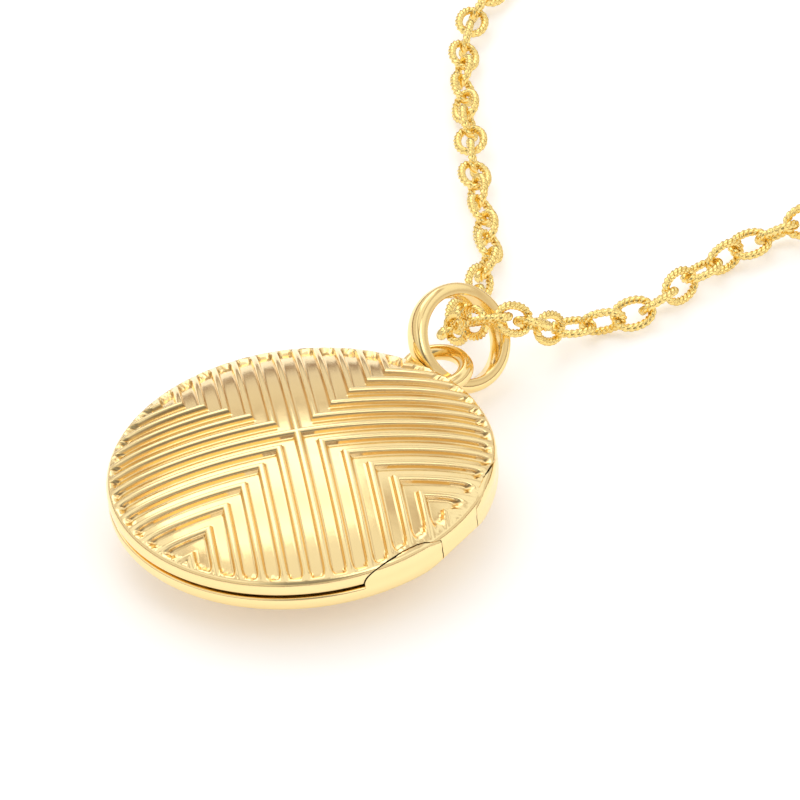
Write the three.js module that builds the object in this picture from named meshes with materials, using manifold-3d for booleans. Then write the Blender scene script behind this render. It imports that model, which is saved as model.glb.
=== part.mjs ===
// A round double-domed locket on a cable chain, in millimetres, +Z up, lying on its back.
// Seen from above, the bail is towards +Y and the hinge is towards +X.
import * as THREE from 'three';
import { mergeVertices } from 'three/addons/utils/BufferGeometryUtils.js';
import Module from 'manifold-3d';

const wasm = await Module();
wasm.setup();

// ---------- driving dimensions ----------
const RIM_R = 10; // outer radius of the closed locket
const DOME_HIGH = 2.95; // from the seam plane to the top of each dome
const SEAM_GAP = 0.2; // open line between the two rims
const WALL = 0.6; // metal left under the grooves

const RIDGE_PITCH = 1.09; // from one raised ridge to the next
const RIDGE_HALF = 0.19; // half the width of a ridge
const GROOVE_DEEP = 0.28;
const GROOVE_COUNT = 7; // nested chevrons in each quarter
const HINGE_LAND = 1.25; // the grooves also end this far from the hinge axis

const SEAT_R = 7.7; // recess that holds a photo and its frame
const SEAT_HIGH = 0.95; // the ledge the photo rests on, from the seam plane
const HOLLOW_R = 7.0; // the hollow behind the photo
const FRAME_THICK = 0.4;
const FRAME_IN = 6.8;
const FRAME_FIT = 0.05; // room around a frame, and under it for the photo

const LIP_IN = 8.3; // closing lip of the back shell
const LIP_OUT = 8.7;
const LIP_HIGH = 0.45;
const LIP_ROOM = 0.15; // room around the lip in the front shell
const LIP_END_X = 7.4; // the lip stops here, clear of the hinge

const HINGE_X = 9.1; // hinge axis: parallel to Y, in the seam plane
const BARREL_R = 0.93;
const BARREL_GAP = 0.07;
const KNUCKLE_HALF = 1.46; // the middle knuckle reaches this far each way
const KNUCKLE_GAP = 0.06;
const SWEEP_HALF = 3.1; // the opening front's edge needs room under the hinge this far each way
const PIN_R = 0.25;
const PIN_HALF = 3.05;
const PIN_ROOM = 0.04;

const NOTCH_R = 0.55; // fingernail notch in the rims, opposite the hinge

const LOOP_CENTRE = [0.3, 11.25, -0.45]; // soldered loop, from the seam plane
const LOOP_R = 1.55;
const LOOP_WIRE = 0.42;
const SOLDER_GAP = 0.03;

const RING_CENTRE = [0.25, 13.486, 0.111]; // bail ring, from the seam plane
const RING_AXIS = [0.794, -0.147, 0.59];
const RING_OUT = 2.95;
const RING_IN = 2.22;
const RING_WIDE = 1.25;
const RING_EDGE = 0.16; // rounding of its edges

const CHAIN_WIDE = 1.9; // across a link
const FACE_GAP = 0.3; // between the ends of the chain's plain solids

const COIL_MID_R = 10.3; // middle of the coiled chain's turns
const COIL_TURNS_WIDE = 3;
const COIL_TURNS_HIGH = 2;
const COIL_LIFT = 0.35; // the tie passes under the coil
const TIE_THICK = 0.25;
const TIE_WIDE = 1.2;

// ---------- small helpers ----------
const v2 = (x, y) => new THREE.Vector2(x, y);

/** Turns a closed three.js geometry into a solid that can be joined and cut. */
function solid(geometry) {
  const plain = geometry.clone();
  plain.deleteAttribute('normal');
  plain.deleteAttribute('uv');
  const merged = mergeVertices(plain, 1e-5);
  const corners = merged.index.array;
  const kept = [];
  for (let i = 0; i < corners.length; i += 3) {
    const [a, b, c] = [corners[i], corners[i + 1], corners[i + 2]];
    if (a !== b && b !== c && c !== a) kept.push(a, b, c);
  }
  const vertProperties = Float32Array.from(merged.attributes.position.array);
  const triVerts = Uint32Array.from(kept);
  return new wasm.Manifold(new wasm.Mesh({ numProp: 3, vertProperties, triVerts }));
}

/** Turns a solid back into a geometry. */
function geometryOf(body) {
  const mesh = body.getMesh();
  const geometry = new THREE.BufferGeometry();
  geometry.setAttribute('position', new THREE.BufferAttribute(Float32Array.from(mesh.vertProperties), 3));
  geometry.setIndex(new THREE.BufferAttribute(Uint32Array.from(mesh.triVerts), 1));
  geometry.computeVertexNormals();
  return geometry;
}

/** A solid of revolution about Z. The outline runs anticlockwise in (radius, height). */
function turned(outline, segments) {
  const points = outline.map(([r, z]) => v2(r, z));
  return new THREE.LatheGeometry(points, segments).rotateX(Math.PI / 2);
}

/** A flat outline pushed up along Z from one height to another. */
function pushed(shape, low, high, curveSegments = 12) {
  const options = { depth: high - low, bevelEnabled: false, curveSegments };
  return new THREE.ExtrudeGeometry(shape, options).translate(0, 0, low);
}

/** A round bar along Y, centred on the hinge axis. */
function hingeBar(radius, from, to, segments = 28) {
  const bar = new THREE.CylinderGeometry(radius, radius, to - from, segments);
  return solid(bar.translate(HINGE_X, (from + to) / 2, 0));
}

function block(x0, x1, y0, y1, z0, z1) {
  const box = new THREE.BoxGeometry(x1 - x0, y1 - y0, z1 - z0);
  return solid(box.translate((x0 + x1) / 2, (y0 + y1) / 2, (z0 + z1) / 2));
}

/** Turns a solid over about X, from the front half's side of the seam to the back half's. */
function turnedOver(body) {
  return solid(geometryOf(body).rotateX(Math.PI));
}

// ---------- the two domed shells ----------
/** Height of the ridge tops above the seam plane, at a radius. */
function domeAt(r) {
  const shoulder = 0.486;
  const spread = 10.2;
  const fullness = 0.7;
  return shoulder + (DOME_HIGH - shoulder) * (1 - (r / spread) ** 2) ** fullness;
}

// The first radius is where the grooves end, inside a smooth rim.
const DOME_RADII = [9.8, 9.0, 7.6, 5.6, 3.0];
const RIM_STEPS = 48;

/** Half of the closed outline, grown by a margin: rim, shoulder and dome, down to the seam plane. */
function halfEnvelope(margin, low) {
  const outline = [
    [0, low],
    [RIM_R - 0.12 + margin, low],
    [RIM_R + margin, low + 0.13],
    [RIM_R + margin, 0.5],
    [RIM_R - 0.05 + margin, 0.74 + margin],
    ...DOME_RADII.map((r) => [r, domeAt(r) + margin]),
    [0, DOME_HIGH + margin],
  ];
  return solid(turned(outline, RIM_STEPS));
}

/** The nested L-shaped grooves of all four quarters, as one cutter. */
function grooveCutter() {
  const far = RIM_R + 1;
  const low = 0.3;
  const high = DOME_HIGH + 1;
  let grooves = null;
  for (let quarter = 0; quarter < 4; quarter += 1) {
    for (let k = 0; k < GROOVE_COUNT; k += 1) {
      const near = k * RIDGE_PITCH + RIDGE_HALF;
      const next = (k + 1) * RIDGE_PITCH - RIDGE_HALF;
      const corner = [[near, near], [far, near], [far, next], [next, next], [next, far], [near, far]];
      const shape = new THREE.Shape(corner.map(([x, y]) => v2(x, y)));
      const turn = Math.PI / 4 + (quarter * Math.PI) / 2;
      const groove = solid(pushed(shape, low, high).rotateZ(turn));
      grooves = grooves ? grooves.add(groove) : groove;
    }
  }
  const floor = [0, ...DOME_RADII.slice().reverse()];
  const above = 0.4;
  const band = solid(turned([
    ...floor.map((r) => [r, domeAt(r) - GROOVE_DEEP]),
    ...floor.slice().reverse().map((r) => [r, domeAt(r) + above]),
  ], RIM_STEPS));
  return grooves.intersect(band).subtract(hingeBar(HINGE_LAND, -RIM_R, RIM_R));
}

/** The photo recess, its ledge, and the hollow behind it that follows the dome. */
function seatCutter() {
  const under = GROOVE_DEEP + WALL;
  return solid(turned([
    [0, -1],
    [SEAT_R, -1],
    [SEAT_R, SEAT_HIGH],
    [HOLLOW_R, SEAT_HIGH],
    [HOLLOW_R, domeAt(HOLLOW_R) - under],
    [4.5, domeAt(4.5) - under],
    [2.2, domeAt(2.2) - under],
    [0, DOME_HIGH - under],
  ], 48));
}

/** A ring about Z between two radii and two heights. */
function washer(inner, outer, low, high, segments = 48) {
  return solid(turned([[inner, low], [outer, low], [outer, high], [inner, high], [inner, low]], segments));
}

/** A shell's knuckle: a piece of the hinge barrel, trimmed to the round outline. */
function knuckle(from, to, outline) {
  return hingeBar(BARREL_R, from, to).intersect(outline);
}

function buildShells() {
  const half = SEAM_GAP / 2;
  const closed = halfEnvelope(0, -0.05);
  const outline = closed.add(turnedOver(closed));
  const blank = halfEnvelope(0, half).subtract(grooveCutter()).subtract(seatCutter());
  const farY = RIM_R;
  const middle = KNUCKLE_HALF;
  const outer = KNUCKLE_HALF + KNUCKLE_GAP;
  const room = BARREL_R + BARREL_GAP;
  const hole = hingeBar(PIN_R + PIN_ROOM, -PIN_HALF - 0.1, PIN_HALF + 0.1, 16);
  const notch = solid(new THREE.SphereGeometry(NOTCH_R, 16, 12).translate(-RIM_R - 0.25, 0, 0));

  const lipRoom = washer(LIP_IN - LIP_ROOM, LIP_OUT + LIP_ROOM, -1, LIP_HIGH + LIP_ROOM, 64);
  const front = blank
    .subtract(lipRoom)
    .subtract(hingeBar(room, outer - KNUCKLE_GAP / 2, farY))
    .subtract(hingeBar(room, -farY, -outer + KNUCKLE_GAP / 2))
    .add(knuckle(-middle, middle, outline))
    .subtract(hole)
    .subtract(notch);

  const lip = washer(LIP_IN, LIP_OUT, -half - 0.3, LIP_HIGH, 64).subtract(
    block(LIP_END_X, RIM_R, -RIM_R, RIM_R, -2, 2),
  );
  const back = turnedOver(blank)
    .add(lip)
    .subtract(hingeBar(room, -outer + KNUCKLE_GAP / 2, outer - KNUCKLE_GAP / 2))
    .subtract(block(HINGE_X - 0.1, RIM_R + 1, -SWEEP_HALF, SWEEP_HALF, -DOME_HIGH, 0))
    .add(knuckle(outer, farY, outline))
    .add(knuckle(-farY, -outer, outline))
    .subtract(hole)
    .subtract(notch);
  return { front, back };
}

const shells = buildShells();

// ---------- hinge pin and photo frames ----------
const pin = new THREE.CylinderGeometry(PIN_R, PIN_R, 2 * PIN_HALF, 14).translate(HINGE_X, 0, 0);

/** A photo's retaining frame, with a rounded inner edge. */
function photoFrame() {
  const high = SEAT_HIGH - FRAME_FIT;
  const low = high - FRAME_THICK;
  const outer = SEAT_R - FRAME_FIT;
  return turned([
    [FRAME_IN, low + 0.12],
    [FRAME_IN + 0.12, low],
    [outer - 0.1, low],
    [outer, low + 0.1],
    [outer, high],
    [FRAME_IN, high],
    [FRAME_IN, low + 0.12],
  ], 40);
}

// ---------- bail loop and bail ring ----------
function bailLoop() {
  const [x, y, z] = LOOP_CENTRE;
  const wire = solid(new THREE.TorusGeometry(LOOP_R, LOOP_WIRE, 12, 28).translate(x, y, z));
  const half = halfEnvelope(SOLDER_GAP, -0.05);
  return geometryOf(wire.subtract(half.add(turnedOver(half))));
}

function bailRing() {
  const w = RING_WIDE / 2;
  const e = RING_EDGE;
  const geometry = turned([
    [RING_IN, -w + e / 2],
    [RING_IN + e / 2, -w],
    [RING_OUT - e, -w],
    [RING_OUT - e * 0.3, -w + e * 0.4],
    [RING_OUT, -w + 0.5],
    [RING_OUT, w - 0.5],
    [RING_OUT - e * 0.3, w - e * 0.4],
    [RING_OUT - e, w],
    [RING_IN + e / 2, w],
    [RING_IN, w - e / 2],
    [RING_IN, -w + e / 2],
  ], 40);
  const axis = new THREE.Vector3(...RING_AXIS).normalize();
  geometry.applyQuaternion(new THREE.Quaternion().setFromUnitVectors(new THREE.Vector3(0, 0, 1), axis));
  return geometry.translate(...RING_CENTRE);
}

// ---------- chain: two strands, their coil, its tie ----------
// Heights here are from the table, and the chain's middle lies this far above it.
const LIE = CHAIN_WIDE / 2 + 0.02;
const LEFT_ROUTE = [
  [0.12, 14.52, 3.24],
  [-0.51, 14.64, 2.77],
  [-1.19, 14.76, 2.27],
  [-2.0, 15.6, 1.6],
  [-2.6, 17.1, 1.15],
  [-3.1, 18.9, LIE],
  [-3.64, 20.6, LIE],
  [-4.3, 22.4, LIE],
  [-5.8, 24.3, LIE],
  [-7.55, 26.2, LIE],
  [-9.2, 28.0, LIE],
  [-10.9, 30.1, LIE],
  [-13.2, 32.9, LIE],
  [-15.0, 35.0, LIE],
  [-16.5, 37.1, LIE],
  [-17.8, 39.2, LIE],
  [-18.9, 41.6, LIE],
  [-19.6, 44.4, LIE],
  [-19.3, 47.4, LIE],
  [-17.8, 50.4, LIE],
  [-14.9, 53.1, LIE],
  [-11.0, 55.2, LIE],
  [-6.5, 57.0, LIE],
  [-2.0, 58.8, LIE],
  [1.6, 60.4, 1.1],
  [4.35, 61.85, 1.25],
];
const RIGHT_ROUTE = [
  [0.36, 14.48, 3.42],
  [0.99, 14.36, 3.89],
  [1.67, 14.24, 4.39],
  [2.45, 14.9, 4.3],
  [2.8, 16.1, 3.4],
  [2.75, 17.4, 2.2],
  [2.9, 18.7, 1.25],
  [3.66, 20.1, LIE],
  [4.76, 21.2, LIE],
  [5.6, 22.7, LIE],
  [5.95, 24.6, LIE],
  [6.15, 26.6, LIE],
  [6.6, 28.6, LIE],
  [7.1, 30.4, LIE],
  [7.9, 32.0, LIE],
  [9.2, 33.8, 1.4],
  [11.2, 35.5, 2.4],
  [13.9, 36.85, 3.1],
];
// From the coil's innermost turn to the clasp and to the end ring, from the coil's centre.
const LEFT_END = [
  [5.8, -2.55, 1.25],
  [5.3, -2.9, 1.15],
  [4.72, -3.15, 1.06],
];
const RIGHT_END = [
  [5.0, 3.7, 3.0],
  [4.2, 4.2, 2.55],
  [3.1, 4.3, 1.7],
  [1.95, 4.0, 1.05],
];
const COIL_CENTRE = [14.6, 51.5];

/** The chain's plain stand-in: an eight-sided tube through the route's points. */
function chainTube(points) {
  const curve = new THREE.CatmullRomCurve3(points.map((p) => new THREE.Vector3(...p)));
  const section = new THREE.Shape();
  for (let side = 0; side < 8; side += 1) {
    const angle = (Math.PI * (side + 0.5)) / 4;
    const corner = [(CHAIN_WIDE / 2) * Math.cos(angle), (CHAIN_WIDE / 2) * Math.sin(angle)];
    if (side === 0) section.moveTo(...corner);
    else section.lineTo(...corner);
  }
  const steps = Math.max(2, Math.round(curve.getLength() / CHAIN_WIDE));
  return new THREE.ExtrudeGeometry(section, { steps, bevelEnabled: false, extrudePath: curve });
}

const fromCoil = (points) => points.map(([x, y, z]) => [x + COIL_CENTRE[0], y + COIL_CENTRE[1], z]);

const coilHalf = (COIL_TURNS_WIDE * CHAIN_WIDE) / 2;
const coilTop = COIL_LIFT + COIL_TURNS_HIGH * CHAIN_WIDE;

/** The outer shape of the coiled chain. */
function coilRing() {
  return turned([
    [COIL_MID_R - coilHalf, COIL_LIFT],
    [COIL_MID_R + coilHalf, COIL_LIFT],
    [COIL_MID_R + coilHalf, coilTop],
    [COIL_MID_R - coilHalf, coilTop],
    [COIL_MID_R - coilHalf, COIL_LIFT],
  ], 48).translate(...COIL_CENTRE, 0);
}

/** A flat band wrapped once round the coil's turns, on its left. */
function coilTie() {
  const room = 0.06;
  const near = COIL_MID_R - coilHalf - room - 0.06;
  const far = COIL_MID_R + coilHalf + room;
  const low = 0.03;
  const frame = new THREE.Shape([
    v2(near - TIE_THICK, low),
    v2(far + TIE_THICK, low),
    v2(far + TIE_THICK, coilTop + room + TIE_THICK),
    v2(near - TIE_THICK, coilTop + room + TIE_THICK),
  ]);
  const inside = [
    v2(near, low + TIE_THICK),
    v2(near, coilTop + room),
    v2(far, coilTop + room),
    v2(far, low + TIE_THICK),
  ];
  frame.holes.push(new THREE.Path(inside));
  const band = pushed(frame, -TIE_WIDE / 2, TIE_WIDE / 2);
  return band.rotateX(Math.PI / 2).rotateZ(Math.PI).translate(...COIL_CENTRE, 0);
}

// ---------- lobster clasp and end ring, drawn flat and then laid inside the coil ----------
const CLASP_THICK = 2.0;
const CLASP_LIFT = 0.05; // above the table
const CLASP_AT = [-1.1, -3.2]; // from the coil's centre; the hook points to -X
const CLASP_PIVOT = [-0.97, -1.38];
const CLASP_TIP = 3.58; // the lever's reach from its pivot
const LEVER_THICK = 0.7;
const SLOT_WIDE = 0.8;
const EYE_X = -3.7;
const RIVET_R = 0.3;
const RIVET_ROOM = 0.04;
const CLASP_MID = CLASP_THICK / 2;

/** A solid disc about (x, y), between two heights. */
function disc(x, y, r, low, high, segments = 24) {
  const body = new THREE.CylinderGeometry(r, r, high - low, segments).rotateX(Math.PI / 2);
  return solid(body.translate(x, y, (low + high) / 2));
}

/** A piece of a flat ring about (1, 0), from one angle to another in degrees, with rounded edges. */
function arcPiece(inner, outer, from, to, low, high, edge) {
  const [a, b] = [(from * Math.PI) / 180, (to * Math.PI) / 180];
  const shape = new THREE.Shape();
  shape.absarc(1, 0, outer - edge, a, b, false);
  shape.absarc(1, 0, inner + edge, b, a, true);
  shape.closePath();
  const options = {
    depth: high - low - 2 * edge,
    bevelEnabled: edge > 0,
    bevelThickness: edge,
    bevelSize: edge,
    bevelSegments: 1,
    curveSegments: 10,
  };
  return solid(new THREE.ExtrudeGeometry(shape, options).translate(0, 0, low + edge));
}

/** Lays a piece of the clasp in its place inside the coil. */
function laid(body) {
  const [x, y] = CLASP_AT;
  const geometry = geometryOf(body).rotateZ(Math.PI);
  return geometry.translate(COIL_CENTRE[0] + x, COIL_CENTRE[1] + y, CLASP_LIFT);
}

function claspBody() {
  const slotLow = CLASP_MID - SLOT_WIDE / 2;
  const slotHigh = CLASP_MID + SLOT_WIDE / 2;
  const plateLow = CLASP_MID - 0.45;
  const plateHigh = CLASP_MID + 0.45;
  return arcPiece(1.95, 2.95, -28, 200, 0, CLASP_THICK, 0.3)
    .add(disc(-1.8, -0.6, 1.5, 0, CLASP_THICK, 28))
    .add(disc(EYE_X, 0, 0.95, plateLow, plateHigh))
    .add(block(EYE_X + 0.6, -2.2, -0.5, 0.5, plateLow, plateHigh))
    .subtract(block(-3.4, 0.3, -3.4, -0.3, slotLow, slotHigh))
    .subtract(disc(EYE_X, 0, 0.45, 0, CLASP_THICK, 18))
    .subtract(disc(...CLASP_PIVOT, RIVET_R + RIVET_ROOM, -1, CLASP_THICK + 1, 16));
}

function claspLever() {
  const low = CLASP_MID - LEVER_THICK / 2;
  const high = CLASP_MID + LEVER_THICK / 2;
  const nub = block(-0.3, 0.3, -1.25, -0.2, low, high);
  const nubAt = geometryOf(nub).rotateZ(-0.35).translate(...CLASP_PIVOT, 0);
  return arcPiece(2.05, 2.85, -140, -42, low, high, 0.12)
    .intersect(disc(...CLASP_PIVOT, CLASP_TIP, low, high, 48))
    .add(disc(...CLASP_PIVOT, 0.62, low, high, 20))
    .add(solid(nubAt))
    .subtract(disc(...CLASP_PIVOT, RIVET_R + RIVET_ROOM, -1, CLASP_THICK + 1, 16));
}

/** A leaf spring in the slot, behind the lever. */
function claspSpring() {
  const low = CLASP_MID - 0.25;
  return block(-3.0, -1.95, -0.52, -0.38, low, low + 0.5);
}

function claspRing() {
  const wire = new THREE.TorusGeometry(0.8, 0.2, 10, 24).rotateX(Math.PI / 2);
  return solid(wire.translate(EYE_X - 0.8, 0, CLASP_MID));
}

function endRing() {
  const [x, y] = [-0.25, 3.75];
  const edge = 0.1;
  const [inner, outer, high] = [1.4, 2.0, 0.6];
  const outline = [
    [inner, edge],
    [inner + edge, 0],
    [outer - edge, 0],
    [outer, edge],
    [outer, high - edge],
    [outer - edge, high],
    [inner + edge, high],
    [inner, high - edge],
    [inner, edge],
  ];
  return turned(outline, 32).translate(COIL_CENTRE[0] + x, COIL_CENTRE[1] + y, 0.03);
}

// ---------- assembly ----------
const metal = (name, color, roughness) => {
  const material = new THREE.MeshStandardMaterial({ color, roughness, metalness: 1 });
  material.name = name;
  return material;
};
const GOLD = metal('polished_gold', 0xe8bb5c, 0.14);
const GOLD_WIRE = metal('gold_wire', 0xe2b24f, 0.24);
const SPRING_STEEL = metal('spring_steel', 0xb9b9b9, 0.35);
const THREAD = new THREE.MeshStandardMaterial({ color: 0xf1ece0, roughness: 0.9, metalness: 0 });
THREAD.name = 'paper_band';

const onTable = (geometry) => geometry.translate(0, 0, DOME_HIGH);
const OWN_PIECES = [
  ['front_shell', onTable(geometryOf(shells.front)), GOLD],
  ['back_shell', onTable(geometryOf(shells.back)), GOLD],
  ['hinge_pin', onTable(pin), GOLD],
  ['front_photo_frame', onTable(photoFrame()), GOLD],
  ['back_photo_frame', onTable(photoFrame().rotateX(Math.PI)), GOLD],
  ['bail_loop', onTable(bailLoop()), GOLD],
  ['bail_ring', onTable(bailRing()), GOLD],
];
const CHAIN_PIECES = [
  ['chain_strand_left', chainTube(LEFT_ROUTE), GOLD_WIRE],
  ['chain_strand_right', chainTube(RIGHT_ROUTE), GOLD_WIRE],
  ['chain_coil', coilRing(), GOLD_WIRE],
  ['chain_end_left', chainTube(fromCoil(LEFT_END)), GOLD_WIRE],
  ['chain_end_right', chainTube(fromCoil(RIGHT_END)), GOLD_WIRE],
  ['coil_tie', coilTie(), THREAD],
  ['clasp_body', laid(claspBody()), GOLD],
  ['clasp_lever', laid(claspLever()), GOLD],
  ['clasp_rivet', laid(disc(...CLASP_PIVOT, RIVET_R, 0, CLASP_THICK, 16)), GOLD],
  ['clasp_spring', laid(claspSpring()), SPRING_STEEL],
  ['clasp_ring', laid(claspRing()), GOLD_WIRE],
  ['end_ring', endRing(), GOLD],
];

// The origin is on the table, under the middle of the locket and its bail ring.
const box = new THREE.Box3();
for (const [, geometry] of OWN_PIECES) {
  geometry.computeBoundingBox();
  box.union(geometry.boundingBox);
}
const middle = box.getCenter(new THREE.Vector3());

const locket = new THREE.Group();
for (const [name, geometry, material] of [...OWN_PIECES, ...CHAIN_PIECES]) {
  const mesh = new THREE.Mesh(geometry.translate(-middle.x, -middle.y, -box.min.z), material);
  mesh.name = name;
  locket.add(mesh);
}
export default locket;
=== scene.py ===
"""A round ribbed gold locket lying on a table, on a cable chain of twisted-wire links."""
import math

import bpy
import numpy as np
from mathutils import Matrix, Vector

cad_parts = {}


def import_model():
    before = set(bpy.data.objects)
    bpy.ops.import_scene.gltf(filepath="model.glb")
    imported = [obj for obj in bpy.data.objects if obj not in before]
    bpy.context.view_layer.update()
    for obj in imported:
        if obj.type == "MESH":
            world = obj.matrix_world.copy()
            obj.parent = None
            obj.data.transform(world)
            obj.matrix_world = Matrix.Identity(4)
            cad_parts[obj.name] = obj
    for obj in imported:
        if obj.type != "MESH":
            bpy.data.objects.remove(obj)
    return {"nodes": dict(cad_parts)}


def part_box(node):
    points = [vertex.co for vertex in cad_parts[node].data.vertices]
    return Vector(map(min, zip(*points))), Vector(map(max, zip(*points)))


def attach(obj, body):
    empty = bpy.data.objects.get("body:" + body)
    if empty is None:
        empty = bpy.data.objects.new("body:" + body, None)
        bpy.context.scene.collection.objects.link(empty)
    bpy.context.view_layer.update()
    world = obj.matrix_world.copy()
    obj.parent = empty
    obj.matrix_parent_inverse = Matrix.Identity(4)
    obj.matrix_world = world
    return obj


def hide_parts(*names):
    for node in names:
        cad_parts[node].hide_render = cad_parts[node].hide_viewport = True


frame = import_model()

for default in ("Cube", "Light", "Camera"):
    if default in bpy.data.objects:
        bpy.data.objects.remove(bpy.data.objects[default])

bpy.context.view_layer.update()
MM = 0.001

# ---------- the locket's own frame, in millimetres: centre of the seam ----------
BACK_LOW, BACK_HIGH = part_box("back_shell")
DOME_HIGH = 2.95  # from the seam to the top of the dome, on both sides
ORIGIN = np.array([0.0, (BACK_LOW[1] + BACK_HIGH[1]) / 2, BACK_LOW[2] + DOME_HIGH * MM])
TABLE_ORIGIN = np.array([0.0, ORIGIN[1], 0.0])

# ---------- locket dimensions, as in the CAD model ----------
RIM_R = 10.0
DOME_EDGE_R = 10.2  # where the dome's curve would end
DOME_EDGE_HIGH = 0.486
SEAM_HALF = 0.1
WALL = 0.6

GROOVE_END = 9.8  # the ribbed part's radius
PITCH = 1.09  # from ridge to ridge
RIDGES = 6  # chevrons in each quarter
RIDGE_HALF = 0.10
GROOVE_DEEP = 0.28
GROOVE_CORNER = 0.28  # rounding where a groove meets the rim
GROOVE_WALL = 0.17  # how far a groove's wall slopes
RIM_EASE = 0.6  # grooves run out at the rim more gently than along the ridges

SEAT_R = 7.7  # the photo's seat
SEAT_HIGH = 0.95
HOLLOW_R = 7.0
LIP_GROOVE = (8.15, 8.85)
LIP_GROOVE_HIGH = 0.6

HINGE_X = 9.1
HINGE_LAND = 1.05  # the grooves stay this far from the hinge's axis
BARREL_R = 0.93
BARREL_ROOM = 1.0
KNUCKLE_HALF = 1.46
KNUCKLE_ROOM = 1.49
KNUCKLE_OUTER = 1.52
KNUCKLE_END = 9.9
SWEEP_HALF = 3.1  # the back's edge is cut away this far each way for the opening cover
PIN_HOLE_R = 0.29
PIN_HOLE_HALF = 3.15
NOTCH_R = 0.55
NOTCH_X = 10.25


def dome_at(r):
    """The height of the ridge tops above the seam at radius r."""
    return DOME_EDGE_HIGH + (DOME_HIGH - DOME_EDGE_HIGH) * (1 - (np.asarray(r) / DOME_EDGE_R) ** 2) ** 0.7


# ---------- mesh helpers ----------
def new_object(name, verts_mm, faces, origin=ORIGIN):
    """An object from points in millimetres about origin, or left in millimetres if origin is None."""
    mesh = bpy.data.meshes.new(name)
    points = np.asarray(verts_mm, dtype=float)
    if origin is not None:
        points = points * MM + origin
    mesh.from_pydata(points.tolist(), [], [tuple(int(i) for i in f) for f in faces])
    mesh.update()
    obj = bpy.data.objects.new(name, mesh)
    bpy.context.scene.collection.objects.link(obj)
    return obj


def placed(obj):
    """Moves a mesh made in millimetres about the seam's centre to its place, in metres."""
    points = np.zeros(len(obj.data.vertices) * 3, dtype=np.float32)
    obj.data.vertices.foreach_get("co", points)
    points = points.reshape(-1, 3) * MM + ORIGIN
    obj.data.vertices.foreach_set("co", points.astype(np.float32).ravel())
    obj.data.update()


def smooth(obj, angle):
    """Smooth shading, with edges over angle in degrees left sharp."""
    mesh = obj.data
    mesh.polygons.foreach_set("use_smooth", [True] * len(mesh.polygons))
    mesh.set_sharp_from_angle(angle=math.radians(angle))
    mesh.update()


def lathe_mesh(outline, segments):
    """Points and faces of a closed (radius, height) outline turned about Z."""
    outline = np.asarray(outline, dtype=float)
    n = len(outline)
    angles = np.arange(segments) * 2 * math.pi / segments
    verts = np.zeros((segments, n, 3))
    verts[:, :, 0] = np.cos(angles)[:, None] * outline[None, :, 0]
    verts[:, :, 1] = np.sin(angles)[:, None] * outline[None, :, 0]
    verts[:, :, 2] = outline[None, :, 1]
    faces = []
    for s in range(segments):
        t = (s + 1) % segments
        for k in range(n):
            j = (k + 1) % n
            faces.append((s * n + k, t * n + k, t * n + j, s * n + j))
    return verts.reshape(-1, 3), faces


def turned(points, axis, centre):
    """Points about Z turned so that Z goes along axis, and moved to centre."""
    spin = np.array(Vector((0, 0, 1)).rotation_difference(Vector(axis).normalized()).to_matrix())
    return np.asarray(points) @ spin.T + np.asarray(centre)


def bar(radius, y0, y1, segments=96):
    """A round bar on the hinge's axis, as points and faces."""
    angles = np.arange(segments) * 2 * math.pi / segments
    ring = np.stack([HINGE_X + radius * np.cos(angles), np.zeros(segments), radius * np.sin(angles)], 1)
    low, high = ring.copy(), ring.copy()
    low[:, 1], high[:, 1] = y0, y1
    faces = [(segments + k, segments + (k + 1) % segments, (k + 1) % segments, k) for k in range(segments)]
    faces.append(tuple(range(segments)))
    faces.append(tuple(range(2 * segments - 1, segments - 1, -1)))
    return np.concatenate([low, high]), faces


def block(x0, x1, y0, y1, z0, z1):
    """A box as points and faces."""
    v = [(x, y, z) for x in (x0, x1) for y in (y0, y1) for z in (z0, z1)]
    f = [(0, 1, 3, 2), (4, 6, 7, 5), (0, 4, 5, 1), (2, 3, 7, 6), (0, 2, 6, 4), (1, 5, 7, 3)]
    return np.array(v, dtype=float), f


def ball(radius, centre):
    """A closed ball, for a cut."""
    angles = np.radians(np.linspace(-90, 90, 17))
    outline = [(max(0.001, radius * math.cos(a)), radius * math.sin(a)) for a in angles]
    points, faces = lathe_mesh(outline, 32)
    return points + np.array(centre), faces


def baked(obj):
    """The object's mesh with its modifiers applied."""
    bpy.context.view_layer.update()
    graph = bpy.context.evaluated_depsgraph_get()
    mesh = bpy.data.meshes.new_from_object(obj.evaluated_get(graph), depsgraph=graph)
    old = obj.data
    obj.modifiers.clear()
    obj.data = mesh
    mesh.name = obj.name
    bpy.data.meshes.remove(old)
    return obj


def cut(obj, other, operation):
    """Joins, cuts or intersects obj with other, given as (points, faces) or an object."""
    if isinstance(other, tuple):
        other = new_object("tool", *other, None)
    modifier = obj.modifiers.new("cut", "BOOLEAN")
    modifier.operation = operation
    modifier.solver = "MANIFOLD"
    modifier.object = other
    baked(obj)
    mesh = other.data
    bpy.data.objects.remove(other)
    bpy.data.meshes.remove(mesh)
    return obj


# ---------- camera ----------
CAMERA_RIGHT = (0.80747036, 0.58358762, -0.08612267)
CAMERA_UP = (-0.29233673, 0.52267085, 0.80084607)
CAMERA_PLACE = (167.233, -194.4248, 192.7457)  # from the seam's centre
CAMERA_LENS = 283.367


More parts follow.
